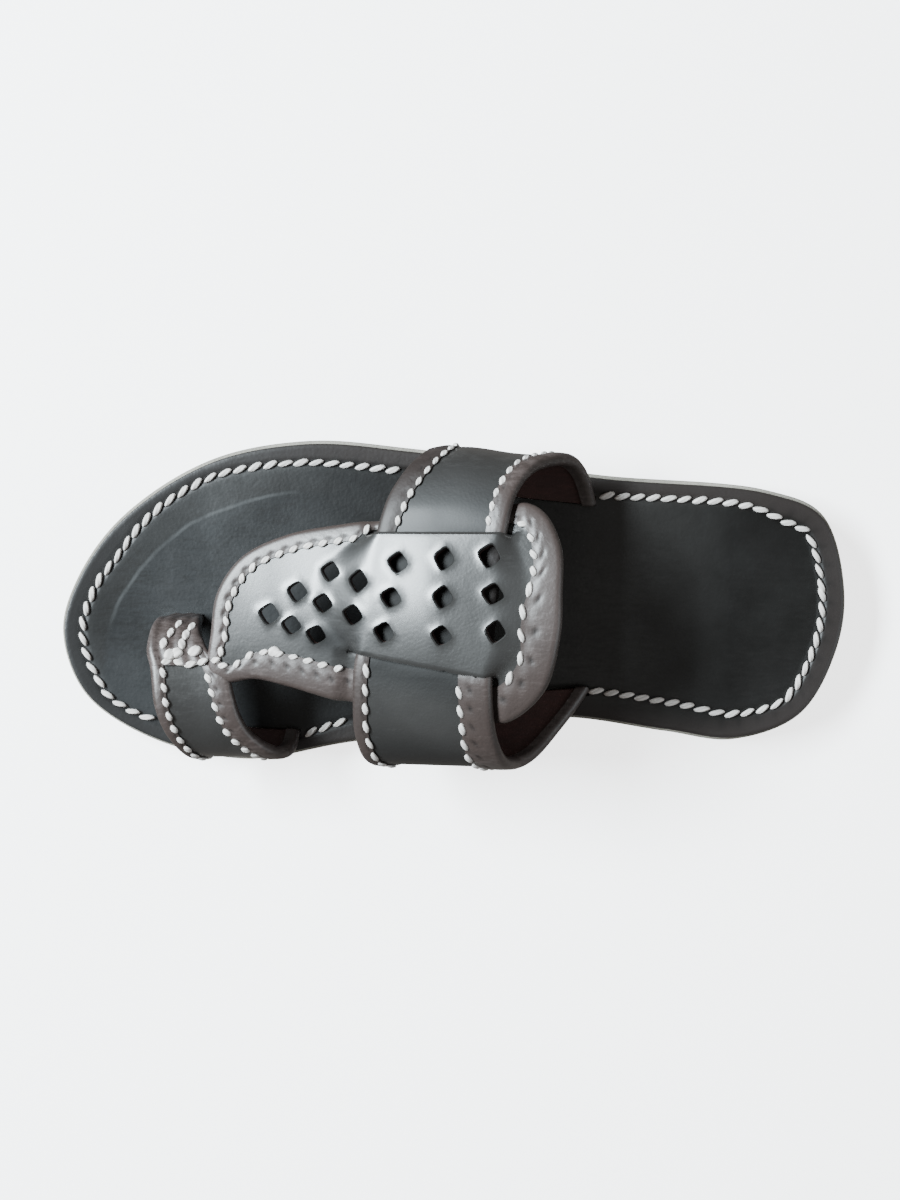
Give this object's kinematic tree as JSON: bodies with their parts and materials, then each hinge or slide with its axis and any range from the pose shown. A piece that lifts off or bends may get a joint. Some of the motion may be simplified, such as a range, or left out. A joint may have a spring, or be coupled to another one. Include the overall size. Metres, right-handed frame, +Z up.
{
  "type": "leather sandal",
  "caption": "Open slide sandal for the right foot: flat stitched sole, punched instep panel with a strap woven through it, and a loop for the big toe.",
  "frame": {"origin": "middle of the shoe's length and width, on the floor under the sole", "axes": "+X from the toe to the heel, +Y towards the outer (little toe) side of the right foot, +Z up from the floor"},
  "size_m": [0.2702, 0.1112, 0.0717],
  "materials": {
    "outsole": "matt pale crepe edge",
    "insole": "smooth black leather, low sheen",
    "upper": "smooth black leather, satin sheen",
    "binding": "brown leather edge binding, satin",
    "lining": "dark maroon lining leather, matt",
    "thread": "off-white waxed thread, matt"
  },
  "bodies": {
    "root": {"outsole": "outsole", "insole": "insole", "upper": "upper"}
  },
  "joints": []
}
